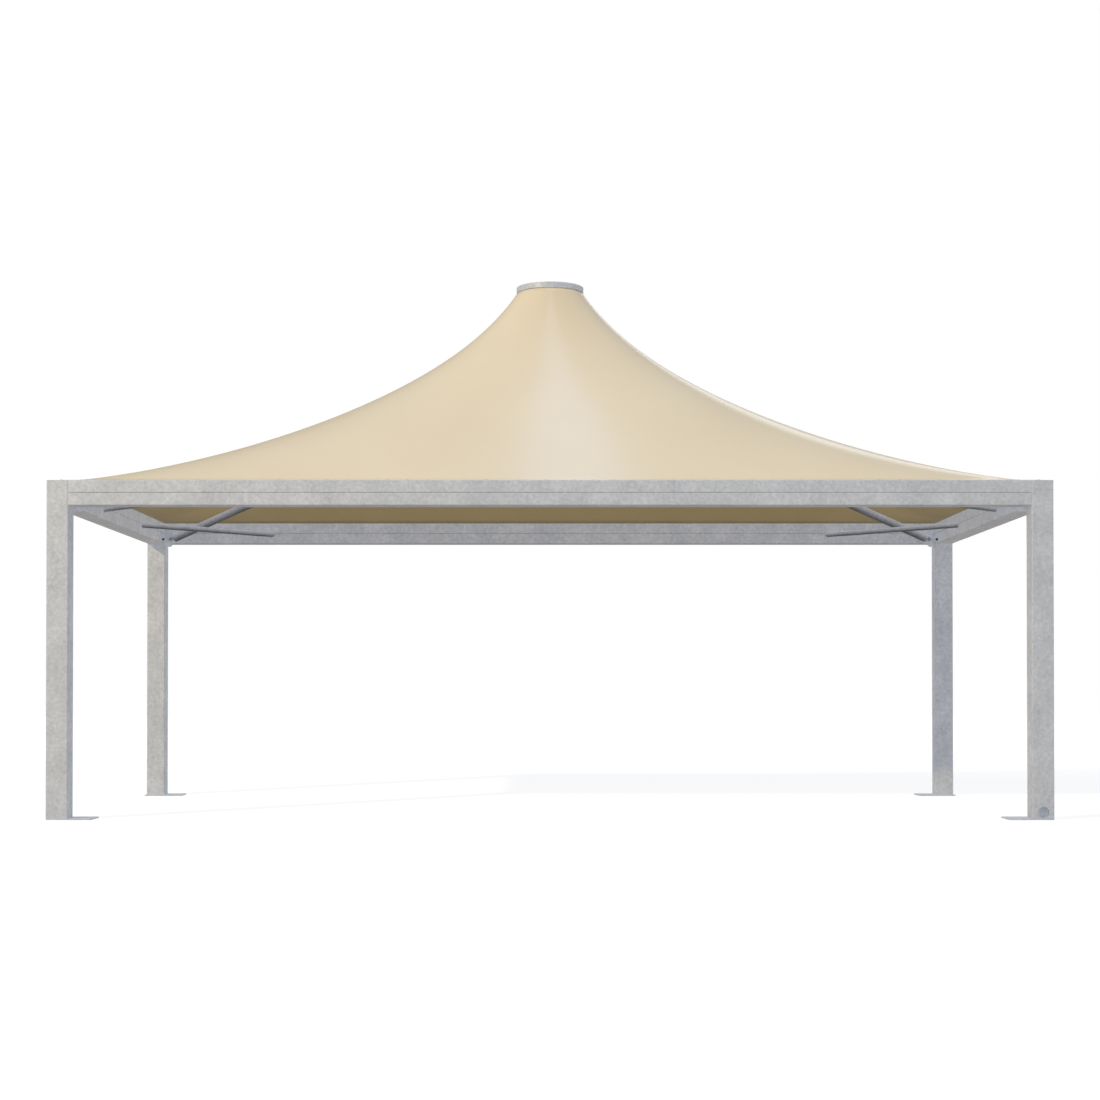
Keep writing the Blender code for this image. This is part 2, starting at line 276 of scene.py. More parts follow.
floor_ending = floor_material.node_tree.nodes["Material Output"]
one_sided.into(floor_ending.inputs["Surface"])
shape = bmesh.new()
bmesh.ops.create_grid(shape, x_segments=1, y_segments=1, size=FLOOR_SIDE / 2)
floor_mesh = bpy.data.meshes.new("floor")
shape.to_mesh(floor_mesh)
shape.free()
floor_mesh.materials.append(floor_material)
floor = bpy.data.objects.new("floor", floor_mesh)
floor.location = (0, 0, -FLOOR_DEPTH)
floor.visible_diffuse = False
floor.visible_glossy = False
floor.visible_shadow = False
bpy.context.scene.collection.objects.link(floor)
leave_out(floor, *both_domes, dark_above, out_of_warm_light)
in_pale_light.objects.link(floor)

# Posts. Four square hollow sections of 175 mm with a plate welded into the top, galvanised after
# welding. The front right one brings the rainwater down, and has a round outlet low in its front.
CORNERS = {
    "front_left": (-1, -1),
    "front_right": (1, -1),
    "back_left": (-1, 1),
    "back_right": (1, 1),
}
POST_ROUND = 0.010
POST_END_ROUND = 0.0012
CAP_INSET = 0.004
CAP_GROOVE = 0.0015
OUTLET_RADIUS = 0.045
OUTLET_HEIGHT = 0.060
OUTLET_DEPTH = 0.045
OUTLET_SIDES = 72
ROUND_STEPS = 6
END_STEPS = 2

ZINC_DARK = (0.410, 0.412, 0.418)
ZINC_MIDDLE = (0.497, 0.497, 0.499)
ZINC_LIGHT = (0.605, 0.60, 0.597)
ZINC_STOPS = ((0.37, ZINC_DARK), (0.5, ZINC_MIDDLE), (0.63, ZINC_LIGHT))
ZINC_METALLIC = 0.25
CRYSTAL_SCALE = 55
SPECKS = {"From Min": 0.66, "From Max": 0.76, "To Max": 0.05}
ZINC_RELIEF = (0.35, 0.0012)
# Painted shade: the zinc is darkened towards a near black along the groove between stacked beams.
SEAM_REACH = 0.0028
SEAM_PAINTED_SHADE = 0.38
SEAM_SHADE_COLOUR = (0.07, 0.068, 0.065)


def noise(place, scale, detail, roughness=0.5):
    values = {"Vector": place, "Scale": scale, "Detail": detail, "Roughness": roughness}
    return place.node("ShaderNodeTexNoise", {}, values)


def embossed(height, strength, depth):
    values = {"Height": height, "Strength": strength, "Distance": depth}
    return height.node("ShaderNodeBump", {}, values)


def galvanised(name, shift, painted_light=1.0, seam=None):
    """Hot-dip zinc: dull clouds, flat crystals and fine bright specks on slightly uneven steel. Painted
    light or shade can lighten or darken it all, and painted shade darkens a level seam at a given
    height."""
    material, surface, place = new_material(name)
    up = place.node("ShaderNodeSeparateXYZ", {}, {0: place}, output=2)
    place = place.node("ShaderNodeMapping", {}, {"Vector": place, "Location": shift})
    clouds = noise(place, scale=4.5, detail=5, roughness=0.6)
    mottle = noise(place, scale=30, detail=5, roughness=0.72)
    cells = {"Vector": place, "Scale": CRYSTAL_SCALE}
    cells = place.node("ShaderNodeTexVoronoi", {}, cells, output="Color")
    crystals = place.node("ShaderNodeSeparateColor", {}, {0: cells}, output=0)
    grain = noise(place, scale=150, detail=3)
    tone = 0.30 * clouds + 0.50 * mottle + 0.06 * crystals + 0.14 * grain
    specks = grain.node("ShaderNodeMapRange", {}, {"Value": grain, **SPECKS})
    stops = [(stop, [painted_light * part for part in colour]) for stop, colour in ZINC_STOPS]
    zinc = (tone + specks).ramp(stops)
    if seam:
        off_seam = up.math("ABSOLUTE", up - seam)
        seam_shade = up.node(
            "ShaderNodeMapRange", {},
            {"Value": off_seam, "From Max": SEAM_REACH, "To Min": SEAM_PAINTED_SHADE, "To Max": 0.0},
        )
        zinc = seam_shade.blend(zinc, (*SEAM_SHADE_COLOUR, 1))
    zinc.into(surface.inputs["Base Color"])
    (0.86 - 0.62 * tone).into(surface.inputs["Roughness"])
    embossed(mottle * 0.7 + crystals * 0.15, *ZINC_RELIEF).into(surface.inputs["Normal"])
    surface.inputs["Metallic"].default_value = ZINC_METALLIC
    return material


def new_piece(name, shape, material):
    """An object made of a bmesh whose faces all point outwards."""
    mesh = bpy.data.meshes.new(name)
    bmesh.ops.recalc_face_normals(shape, faces=shape.faces)
    shape.to_mesh(mesh)
    shape.free()
    if material:
        mesh.materials.append(material)
    piece = bpy.data.objects.new(name, mesh)
    bpy.context.scene.collection.objects.link(piece)
    return piece


def joined(piece, operation, shape):
    """Cuts another shape out of a piece, or welds it on."""
    step = piece.modifiers.new(operation.lower(), "BOOLEAN")
    step.operation = operation
    step.object = new_piece(f"{piece.name}_{len(piece.modifiers)}", shape, None)


def as_mesh(piece):
    """Replaces a piece's mesh by what its modifiers make of it, and drops them and their helpers."""
    graph = bpy.context.evaluated_depsgraph_get()
    piece.data = bpy.data.meshes.new_from_object(piece.evaluated_get(graph))
    helpers = [step.object for step in piece.modifiers if step.type == "BOOLEAN"]
    piece.modifiers.clear()
    for helper in helpers:
        bpy.data.objects.remove(helper)


def settle(piece, slot, *nodes, sharp=35):
    """Shades a finished piece, lets it ride on the frame and hides the solids that it stands for."""
    if piece.modifiers:
        as_mesh(piece)
    piece.data.shade_smooth()
    piece.data.set_sharp_from_angle(angle=math.radians(sharp))
    piece.modifiers.new("even_normals", "WEIGHTED_NORMAL").keep_sharp = True
    as_mesh(piece)
    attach(piece, "root")
    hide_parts(*nodes)
    return piece


def rounded_bar(low, high, axis, radius, end_radius):
    """A straight bar between two corners, rounded along its length and eased at its ends."""
    shape = bmesh.new()
    low, high = Vector(low), Vector(high)
    place = Matrix.Translation((low + high) / 2) @ Matrix.Diagonal((*(high - low), 1))
    bmesh.ops.create_cube(shape, size=1, matrix=place)

    def lengthwise(edge):
        return abs(edge.verts[0].co[axis] - edge.verts[1].co[axis]) > end_radius

    for offset, steps, wanted in ((radius, ROUND_STEPS, True), (end_radius, END_STEPS, False)):
        edges = [edge for edge in shape.edges if lengthwise(edge) == wanted]
        bmesh.ops.bevel(shape, geom=edges, offset=offset, segments=steps, profile=0.5, affect="EDGES")
    return shape


def rod(start, end, radius, sides=48):
    """A round bar between two points."""
    shape = bmesh.new()
    start, end = Vector(start), Vector(end)
    turn = (end - start).to_track_quat("Z", "Y").to_matrix().to_4x4()
    bmesh.ops.create_cone(
        shape, cap_ends=True, segments=sides, radius1=radius, radius2=radius,
        depth=(end - start).length, matrix=Matrix.Translation((start + end) / 2) @ turn,
    )
    return shape


post_zinc = galvanised("galvanised_posts", (0.0, 0.0, 0.0))
for corner in CORNERS:
    low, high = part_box(f"{corner}_post")
    shape = rounded_bar(low, high, 2, POST_ROUND, POST_END_ROUND)
    shape.faces.ensure_lookup_table()
    top = [face for face in shape.faces if face.calc_center_median().z > high.z - POST_END_ROUND / 4]
    for inset, depth in ((CAP_INSET, -CAP_GROOVE), (CAP_GROOVE, CAP_GROOVE)):
        bmesh.ops.inset_region(shape, faces=top, thickness=inset, depth=depth, use_even_offset=True)
    post = new_piece(f"{corner}_square_post", shape, post_zinc)
    if corner == "front_right":
        middle = (low.x + high.x) / 2
        ends = [(middle, low.y + depth, OUTLET_HEIGHT) for depth in (-OUTLET_DEPTH, OUTLET_DEPTH)]
        joined(post, "DIFFERENCE", rod(*ends, OUTLET_RADIUS, OUTLET_SIDES))
    leave_out(settle(post, "galvanised", f"{corner}_post"), *both_domes)


# Base plates. Plates of 12 mm under the posts, standing proud on the two inner sides, with three
# plain drilled holes for the ground anchors. The post is welded on along its two inner sides.
PLATE_CORNER = 0.012
PLATE_EDGE = 0.001
HOLE_RADIUS = 0.007
HOLE_SIDES = 40
HOLE_PLACES = ((-0.315, -0.045), (-0.315, -0.235), (-0.045, -0.235))
FOOT_WELD = 0.0045
WELD_PITCH = 0.0045
WELD_STEP = 0.0015
WELD_SIDES = 10
ARC_STEPS = 5


def geometry_tree(name, inputs):
    """An empty tree of geometry nodes with a Geometry input and output and more named inputs."""
    tree = bpy.data.node_groups.new(name, "GeometryNodeTree")
    tree.interface.new_socket("Geometry", in_out="OUTPUT", socket_type="NodeSocketGeometry")
    tree.interface.new_socket("Geometry", in_out="INPUT", socket_type="NodeSocketGeometry")
    for label, kind in inputs.items():
        tree.interface.new_socket(label, in_out="INPUT", socket_type=f"NodeSocket{kind}")
    ports = tree.nodes.new("NodeGroupInput").outputs
    return tree, {port.name: Signal(tree, port) for port in ports if port.name}


def resampled(path, step):
    line = path.node("GeometryNodeMeshToCurve", {}, {"Mesh": path})
    values = {"Curve": line, "Length": step}
    return line.node("GeometryNodeResampleCurve", {"mode": "LENGTH"}, values)


def end_tree(tree, result):
    result.into(tree.nodes.new("NodeGroupOutput").inputs[0])


def grown(name, paths, tree, values, closed=False):
    """A piece that a tree of geometry nodes grows along polylines."""
    points, edges = [], []
    for path in paths:
        first, count = len(points), len(path)
        points += [tuple(point) for point in path]
        edges += [(first + i, first + (i + 1) % count) for i in range(count if closed else count - 1)]
    mesh = bpy.data.meshes.new(name)
    mesh.from_pydata(points, edges, [])
    piece = bpy.data.objects.new(name, mesh)
    bpy.context.scene.collection.objects.link(piece)
    growth = piece.modifiers.new("growth", "NODES")
    growth.node_group = tree
    for socket in tree.interface.items_tree:
        if socket.in_out == "INPUT" and socket.name in values:
            growth[socket.identifier] = values[socket.name]
    return piece


weld_inputs = {"Radius": "Float", "Pitch": "Float", "Material": "Material"}
weld_tree, port = geometry_tree("weld_bead", weld_inputs)
line = resampled(port["Geometry"], WELD_STEP)
run = line.node("GeometryNodeSplineParameter", {}, {}, output="Length")
ripple = run.math("DIVIDE", run, port["Pitch"]).math("FRACT", run.math("DIVIDE", run, port["Pitch"]))
position = line.node("GeometryNodeInputPosition", {}, {})
width = 0.72 + 0.14 * ripple + 0.36 * noise(position, scale=40, detail=1)
section = {"Resolution": WELD_SIDES, "Radius": port["Radius"]}
section = line.node("GeometryNodeCurvePrimitiveCircle", {}, section)
bead = {"Curve": line, "Profile Curve": section, "Scale": width, "Fill Caps": True}
bead = line.node("GeometryNodeCurveToMesh", {}, bead)
bead = bead.node("GeometryNodeRealizeInstances", {}, {"Geometry": bead})
bead = {"Geometry": bead, "Material": port["Material"]}
end_tree(weld_tree, line.node("GeometryNodeSetMaterial", {}, bead))


def weld(name, paths, radius, material, closed=False):
    values = {"Radius": radius, "Pitch": WELD_PITCH, "Material": material}
    return settle(grown(name, paths, weld_tree, values, closed), "galvanised", sharp=60)


def spans(node):
    """How near to the middle and how far out a piece reaches, each along x and y."""
    ends = [[abs(point[axis]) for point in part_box(node)] for axis in (0, 1)]
    return [min(pair) for pair in ends], [max(pair) for pair in ends]


foot_zinc = galvanised("galvanised_feet", (3.1, 0.4, 0.0))
foot_welds = []
for corner, (side_x, side_y) in CORNERS.items():
    low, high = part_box(f"{corner}_base_plate")
    shape = rounded_bar(low, high, 2, PLATE_CORNER, PLATE_EDGE)
    plate = new_piece(f"{corner}_foot_plate", shape, foot_zinc)
    far = spans(f"{corner}_base_plate")[1]
    outer = Vector((side_x * far[0], side_y * far[1], 0))
    for from_x, from_y in HOLE_PLACES:
        middle = outer + Vector((side_x * from_x, side_y * from_y, high.z / 2))
        reach = Vector((0, 0, high.z))
        joined(plate, "DIFFERENCE", rod(middle - reach, middle + reach, HOLE_RADIUS, HOLE_SIDES))
    settle(plate, "galvanised", f"{corner}_base_plate")
    post_low, post_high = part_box(f"{corner}_post")
    side = post_high.x - post_low.x
    centre = (side - POST_ROUND, side - POST_ROUND)
    arc = [(centre[0] + POST_ROUND * math.cos(turn), centre[1] + POST_ROUND * math.sin(turn))
           for turn in np.linspace(math.pi / 2, 0, ARC_STEPS)]
    path = [(POST_ROUND, side), *arc, (side, POST_ROUND)]
    foot_welds.append([(outer.x - side_x * x, outer.y - side_y * y, post_low.z + FOOT_WELD / 4)
                       for x, y in path])
weld("foot_welds", foot_welds, FOOT_WELD, foot_zinc)

# Beams. Two rectangular steel tubes lie on each other on every side, welded in between the posts.
# Their rounded edges leave the fine groove half way up, which painted shade darkens. The side beams'
# zinc is painted lighter, as painted light. The welds at the posts are ground almost flush.
BEAM_ROUND = 0.005
BEAM_END_ROUND = 0.0008
FLUSH_WELD = 0.0034
FLUSH_DEPTH = 0.0027
SIDE_PAINTED_LIGHT = 1.1

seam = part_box("front_lower_beam")[1].z
beam_zinc = {
    "front": galvanised("galvanised_front_beams", (0.0, 5.2, 1.3), 1.0, seam),
    "back": galvanised("galvanised_back_beams", (2.7, 0.0, 0.9), 1.0, seam),
    "left": galvanised("galvanised_left_beams", (0.6, 1.9, 4.4), SIDE_PAINTED_LIGHT, seam),
    "right": galvanised("galvanised_right_beams", (1.1, 3.3, 2.2), SIDE_PAINTED_LIGHT, seam),
}
for side, zinc in beam_zinc.items():
    axis = 0 if side in ("front", "back") else 1
    for level in ("lower", "upper"):
        low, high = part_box(f"{side}_{level}_beam")
        shape = rounded_bar(low, high, axis, BEAM_ROUND, BEAM_END_ROUND)
        tube = new_piece(f"{side}_{level}_tube", shape, zinc)
        leave_out(settle(tube, "galvanised", f"{side}_{level}_beam"), let_through_above)

frame_welds = []
for corner, (side_x, side_y) in CORNERS.items():
    inner, far = spans(f"{corner}_post")
    outer = [distance - FLUSH_DEPTH for distance in far]
    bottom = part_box("front_lower_beam")[0].z + FLUSH_DEPTH
    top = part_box("front_upper_beam")[1].z - FLUSH_DEPTH
    for fixed in (0, 1):
        section = ((inner[1 - fixed], bottom), (outer[1 - fixed], bottom),
                   (outer[1 - fixed], top), (inner[1 - fixed], top))
        path = []
        for away, up in section:
            x, y = (inner[0], away) if fixed == 0 else (away, inner[1])
            path.append((side_x * x, side_y * y, up))
        frame_welds.append(path)
weld("frame_welds", frame_welds, FLUSH_WELD, beam_zinc["front"])

# Vent plugs. A black plastic plug closes the zinc vent hole near each end of the short beams. It is
# pushed in, has a flat rim and a domed grip, and stands 19 mm proud.
PLUG_RADIUS = 0.013
PLUG_Y = 1.700
PLUG_Z = 2.532
PLUG_PROFILE = (
    (0, 0.0190), (0.0050, 0.0186), (0.0088, 0.0170), (0.0108, 0.0135), (0.0112, 0.0040),
    (0.0124, 0.0034), (PLUG_RADIUS, 0.0022), (PLUG_RADIUS, -0.0018), (0, -0.0018),
)
PLUG_SIDES = 40
PLUG_COLOUR = (0.004, 0.004, 0.0045)
PLUG_GRAIN = (0.2, 0.0002)
MERGE_DISTANCE = 0.00001


def turned(profile, sides, place=None):
    """A turned shape from (radius, height) points. A profile that is off the axis is closed first."""
    shape = bmesh.new()
    points = [shape.verts.new((radius, 0, height)) for radius, height in profile]
    for first, second in zip(points, points[1:]):
        shape.edges.new((first, second))
    if profile[0][0] > 0:
        shape.edges.new((points[-1], points[0]))
    bmesh.ops.spin(
        shape, geom=shape.verts[:] + shape.edges[:], cent=(0, 0, 0), axis=(0, 0, 1),
        angle=2 * math.pi, steps=sides, use_merge=True,
    )
    bmesh.ops.remove_doubles(shape, verts=shape.verts, dist=MERGE_DISTANCE)
    if place:
        bmesh.ops.transform(shape, matrix=place, verts=shape.verts)
    return shape


def gathered(shapes):
    """Several shapes in one."""
    whole = bmesh.new()
    for shape in shapes:
        bmesh.ops.recalc_face_normals(shape, faces=shape.faces)
        mesh = bpy.data.meshes.new("part_of_a_piece")
        shape.to_mesh(mesh)
        shape.free()
        whole.from_mesh(mesh)
        bpy.data.meshes.remove(mesh)
    return whole


plastic, surface, place = new_material("black_plastic")
fine = noise(place, scale=900, detail=2)
(0.35 + 0.25 * fine).into(surface.inputs["Roughness"])
embossed(fine, *PLUG_GRAIN).into(surface.inputs["Normal"])
surface.inputs["Base Color"].default_value = (*PLUG_COLOUR, 1)
inner = spans("left_lower_beam")[0][0]
plugs = []
for side_x, side_y in CORNERS.values():
    spot = Matrix.Translation((side_x * inner, side_y * PLUG_Y, PLUG_Z))
    spot = spot @ Matrix.Rotation(-side_x * math.pi / 2, 4, "Y")
    plugs.append(turned(PLUG_PROFILE, PLUG_SIDES, spot))
settle(new_piece("vent_plugs", gathered(plugs), plastic), None)

# Outlet. A thin galvanised steel cup lines the round pocket at the foot of the front right post. It
# fits in with a hair's breadth all round. The warm lamp doesn't light it, and its zinc is painted
# darker, as painted shade.
CUP_WALL = 0.0015
CUP_SEAT = 0.0003
CUP_PAINTED_SHADE = 0.9
CUP_PROFILE = (
    (0, 0), (OUTLET_RADIUS - CUP_SEAT, 0), (OUTLET_RADIUS - CUP_SEAT, OUTLET_DEPTH),
    (OUTLET_RADIUS - CUP_WALL, OUTLET_DEPTH), (OUTLET_RADIUS - CUP_WALL, CUP_WALL), (0, CUP_WALL),
)

low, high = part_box("front_right_post")
bottom = Matrix.Translation(((low.x + high.x) / 2, low.y + OUTLET_DEPTH - CUP_SEAT, OUTLET_HEIGHT))
cup = turned(CUP_PROFILE, OUTLET_SIDES, bottom @ Matrix.Rotation(math.pi / 2, 4, "X"))
cup_zinc = galvanised("galvanised_cup", (2.9, 3.7, 1.1), CUP_PAINTED_SHADE)
cup = settle(new_piece("outlet_cup", cup, cup_zinc), "galvanised")
leave_out(cup, *both_domes, out_of_warm_light)

# Knee braces. A level round steel tube of 48 mm crosses each corner. Its ends are mitred and welded
# to the inner faces of the lower beams.
KNEE_RADIUS = 0.024
KNEE_WELD = 0.0032
LOOP_STEPS = 48


def sliced(shape, point, outward):
    """Cuts off what lies beyond a plane, and closes the cut."""
    cut = bmesh.ops.bisect_plane(
        shape, geom=shape.verts[:] + shape.edges[:] + shape.faces[:],
        plane_co=point, plane_no=outward, clear_outer=True,
    )
    rim = [item for item in cut["geom_cut"] if isinstance(item, bmesh.types.BMEdge)]
    bmesh.ops.edgeloop_fill(shape, edges=rim)


knee_zinc = galvanised("galvanised_knee_braces", (4.4, 2.8, 0.5))
knee_welds = []
for corner, (side_x, side_y) in CORNERS.items():
    low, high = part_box(f"{corner}_knee_brace")
    level = (low.z + high.z) / 2
    near, far = spans(f"{corner}_knee_brace")
    skew = KNEE_RADIUS * math.sqrt(2)
    at_side = Vector((side_x * far[0], side_y * (near[1] + skew), level))
    at_long = Vector((side_x * (near[0] + skew), side_y * far[1], level))
    direction = (at_long - at_side).normalized()
    spare = 2 * KNEE_RADIUS * direction
    shape = rod(at_side - spare, at_long + spare, KNEE_RADIUS)
    for point, outward in ((at_side, Vector((side_x, 0, 0))), (at_long, Vector((0, side_y, 0)))):
        sliced(shape, point, outward)
        sideways = Vector((0, 0, 1)).cross(direction)
        loop = []
        for turn in np.linspace(0, 2 * math.pi, LOOP_STEPS, endpoint=False):
            up = Vector((0, 0, KNEE_RADIUS * math.sin(turn)))
            spoke = sideways * (KNEE_RADIUS * math.cos(turn)) + up
            slide = -spoke.dot(outward) / direction.dot(outward)
            loop.append(point + spoke + direction * slide - outward * (KNEE_WELD / 4))
        knee_welds.append(loop)
    brace = new_piece(f"{corner}_round_brace", shape, knee_zinc)
    leave_out(settle(brace, "galvanised", f"{corner}_knee_brace"), *both_domes, dark_below)
weld("knee_brace_welds", knee_welds, KNEE_WELD, knee_zinc, closed=True)

# Struts. A round tube of 76 mm rises from each corner to the hub. Its lower end is cut square and
# closed. The two cheeks that are welded to it, a piece of their own here, take the gusset in the
# corner between them.
INNER = (3.825, 1.825)
STRUT_PLAN = math.hypot(*INNER)
STRUT_RADIUS = 0.038
STRUT_SIDES = 64
STRUT_LOW = 2.51
STRUT_RISE = 1.41
STRUT_START = 0.12
HUB_RADIUS = 0.11
HUB_REACH = 0.008
GUSSET_HALF = 0.007
CHEEK_THICK = 0.008
CHEEK_GAP = 0.0004
PLATE_ROUND = 0.0012
BOLT_ALONG = 0.085
BOLT_HEIGHT = 2.541
BOLT_HOLE = 0.011
HOLE_REACH = 0.05
GUSSET_OUTLINE = ((-0.03, 2.466), (0.066, 2.466), (0.110, 2.497), (0.100, 2.600), (-0.03, 2.645))
CHEEK_OUTLINE = (
    (0.0445, 2.505), (0.075, 2.488), (0.150, 2.522), (0.190, 2.540), (0.175, 2.606), (0.077, 2.640)
)
STRUT_WELD = 0.0042
# Cheeks and gussets get lighter zinc as painted light, against the shade in the frame's corners.
PLATE_PAINTED_LIGHT = 1.05


class Corner:
    """The upright plane of one corner, in which the strut, the gusset and the cheeks lie."""

    def __init__(self, side_x, side_y):
        self.start = Vector((side_x * INNER[0], side_y * INNER[1], 0))
        self.along = -self.start.normalized()
        self.across = Vector((0, 0, 1)).cross(self.along)

    def spot(self, distance, height, offset=0.0):
        return self.start + self.along * distance + self.across * offset + Vector((0, 0, height))

    def plate(self, outline, inner, outer):
        shape = bmesh.new()
        near, far = (
            [shape.verts.new(self.spot(distance, height, offset)) for distance, height in outline]
            for offset in (inner, outer)
        )
        shape.faces.new(near)
        shape.faces.new(far)
        for i in range(len(outline)):
            j = (i + 1) % len(outline)
            shape.faces.new((near[i], near[j], far[j], far[i]))
        return shape

    def bolt_hole(self):
        ends = [self.spot(BOLT_ALONG, BOLT_HEIGHT, offset) for offset in (-HOLE_REACH, HOLE_REACH)]
        return rod(*ends, BOLT_HOLE, HOLE_SIDES)


def eased(shape, radius, steps=2):
    """Rounds every edge of a plate."""
    bmesh.ops.recalc_face_normals(shape, faces=shape.faces)
    bmesh.ops.bevel(
        shape, geom=shape.edges, offset=radius, segments=steps, profile=0.5, affect="EDGES",
        clamp_overlap=True,
    )
    return shape


def on_axis(distance):
    return STRUT_LOW + STRUT_RISE * distance / STRUT_PLAN


strut_zinc = galvanised("galvanised_struts", (1.7, 4.1, 3.6))
cheek_zinc = galvanised("galvanised_cheeks", (3.9, 0.8, 2.3), PLATE_PAINTED_LIGHT)
strut_welds = []
for name, (side_x, side_y) in CORNERS.items():
    corner = Corner(side_x, side_y)
    run = (STRUT_START, STRUT_PLAN - HUB_RADIUS + HUB_REACH)
    ends = [corner.spot(distance, on_axis(distance)) for distance in run]
    strut = new_piece(f"{name}_strut_tube", rod(*ends, STRUT_RADIUS, STRUT_SIDES), strut_zinc)
    sides = [
        eased(corner.plate(CHEEK_OUTLINE, inner, inner + CHEEK_THICK), PLATE_ROUND)
        for inner in (GUSSET_HALF + CHEEK_GAP, -GUSSET_HALF - CHEEK_GAP - CHEEK_THICK)
    ]
    cheeks = new_piece(f"{name}_strut_cheeks", gathered(sides), cheek_zinc)
    joined(cheeks, "DIFFERENCE", corner.bolt_hole())
    leave_out(settle(cheeks, "galvanised"), *both_domes)
    leave_out(settle(strut, "galvanised", f"{name}_strut"), *both_domes, dark_below)
    slope = math.atan2(STRUT_RISE, STRUT_PLAN)
    loop = []
    for turn in np.linspace(0, 2 * math.pi, LOOP_STEPS, endpoint=False):
        sideways, up = STRUT_RADIUS * math.cos(turn), STRUT_RADIUS * math.sin(turn)
        distance = STRUT_PLAN - math.sqrt(HUB_RADIUS ** 2 - sideways ** 2)
        run_up = (distance + up * math.sin(slope)) / math.cos(slope)
        height = STRUT_LOW + run_up * math.sin(slope) + up * math.cos(slope)
        loop.append(corner.spot(distance - STRUT_WELD / 4, height, sideways))
    strut_welds.append(loop)
weld("strut_welds", strut_welds, STRUT_WELD, strut_zinc, closed=True)

# Gussets. A steel plate of 14 mm with one bolt hole is welded upright into each inner corner of the
# frame, along both of its upright edges. The galvanising covers plate and welds.
GUSSET_WELD = 0.0042
WELD_ENDS = (0.003, 0.006)

gusset_zinc = galvanised("galvanised_gussets", (5.3, 1.4, 2.9), PLATE_PAINTED_LIGHT)
gusset_welds = []
for name, (side_x, side_y) in CORNERS.items():
    corner = Corner(side_x, side_y)
    shape = corner.plate(GUSSET_OUTLINE, -GUSSET_HALF, GUSSET_HALF)
    at_side, at_long = Vector((side_x, 0, 0)), Vector((0, side_y, 0))
    for point, outward in ((at_side * INNER[0], at_side), (at_long * INNER[1], at_long)):
        sliced(shape, point, outward)
    gusset = new_piece(f"{name}_gusset_plate", eased(shape, PLATE_ROUND), gusset_zinc)
    joined(gusset, "DIFFERENCE", corner.bolt_hole())
    leave_out(settle(gusset, "galvanised", f"{name}_gusset"), *both_domes)
    foot, head = GUSSET_OUTLINE[0][1] + WELD_ENDS[0], GUSSET_OUTLINE[-1][1] - WELD_ENDS[1]
    for sign in (1, -1):
        offset = sign * GUSSET_HALF
        outside = [
            side * (corner.start + corner.across * offset)[i] - INNER[i]
            for i, side in ((0, side_x), (1, side_y))
        ]
        distance = max(outside[i] / abs(corner.along[i]) for i in (0, 1))
        gusset_welds.append([corner.spot(distance, foot, offset), corner.spot(distance, head, offset)])
weld("gusset_welds", gusset_welds, GUSSET_WELD, gusset_zinc)

# Bolts. One zinc-plated steel hexagon bolt through each gusset and its two cheeks, with a washer on
# either side and a nut.
SHANK_RADIUS = 0.010
WASHER_RADIUS = 0.0185
WASHER_THICK = 0.0025
HEAD_RADIUS = 0.0172
HEAD_THICK = 0.0115
THREAD_END = 0.006
HEAD_CHAMFER = 0.0022
CHAMFER_SLOPE = 0.6
CORNER_SLACK = 1.01
SHANK_EASE = 0.0008
WASHER_EASE = 0.0004
BOLT_TONES = ((0.3, (0.36, 0.36, 0.35)), (0.7, (0.55, 0.55, 0.53)))

bolt_zinc, surface, place = new_material("zinc_plated_bolts")
dull = noise(place, scale=160, detail=4)
dull.ramp(BOLT_TONES).into(surface.inputs["Base Color"])
(0.28 + 0.3 * dull).into(surface.inputs["Roughness"])
surface.inputs["Metallic"].default_value = 0.85


def hexagon(start, end, radius, chamfer):
    """A hexagon head or nut whose outer corners are turned off."""
    start, end = Vector(start), Vector(end)
    turn = (end - start).to_track_quat("Z", "Y").to_matrix().to_4x4()
    thick = (end - start).length
    wide, drop = radius * CORNER_SLACK, chamfer * CHAMFER_SLOPE
    profile = ((0, thick), (radius - chamfer, thick), (wide, thick - drop), (wide, 0), (0, 0))
    flats = new_piece("hexagon", rod(start, end, radius, 6), None)
    joined(flats, "INTERSECT", turned(profile, 48, Matrix.Translation(start) @ turn))
    as_mesh(flats)
    shape = bmesh.new()
    shape.from_mesh(flats.data)
    bpy.data.objects.remove(flats)
    return shape


for name, (side_x, side_y) in CORNERS.items():
    corner = Corner(side_x, side_y)
    cheek = GUSSET_HALF + CHEEK_GAP + CHEEK_THICK
    washer, head = cheek + WASHER_THICK, cheek + WASHER_THICK + HEAD_THICK

    def spot(offset):
        return corner.spot(BOLT_ALONG, BOLT_HEIGHT, offset)

    shapes = [
        eased(rod(spot(-head - THREAD_END), spot(washer), SHANK_RADIUS, 40), SHANK_EASE),
        eased(rod(spot(cheek), spot(washer), WASHER_RADIUS), WASHER_EASE),
        eased(rod(spot(-cheek), spot(-washer), WASHER_RADIUS), WASHER_EASE),
        hexagon(spot(washer), spot(head), HEAD_RADIUS, HEAD_CHAMFER),
        hexagon(spot(-washer), spot(-head), HEAD_RADIUS, HEAD_CHAMFER),
    ]
    bolt = new_piece(f"{name}_hexagon_bolt", gathered(shapes), bolt_zinc)
    settle(bolt, "bolt_steel", f"{name}_strut_bolt")

# Hub and mast. The struts are welded to a drum with two lids. On it stands the mast, a round tube
# with a flange and bolts below and a welded seat under the crown plate.
LID = 0.008
LID_INSET = 0.006
LID_CHAMFER = 0.0015
MAST_RADIUS = 0.05
FLANGE_RADIUS = 0.092
FLANGE_THICK = 0.012
FLANGE_EDGE = 0.001
FLANGE_BOLTS = 6
FLANGE_BOLT_RING = 0.072
FLANGE_HEAD = {"radius": 0.0092, "thick": 0.0075, "chamfer": 0.0013}
FLANGE_THREAD = {"radius": 0.005, "end": 0.003, "ease": 0.0005}
MAST_WELD = 0.005
WELD_SEAT = 0.001

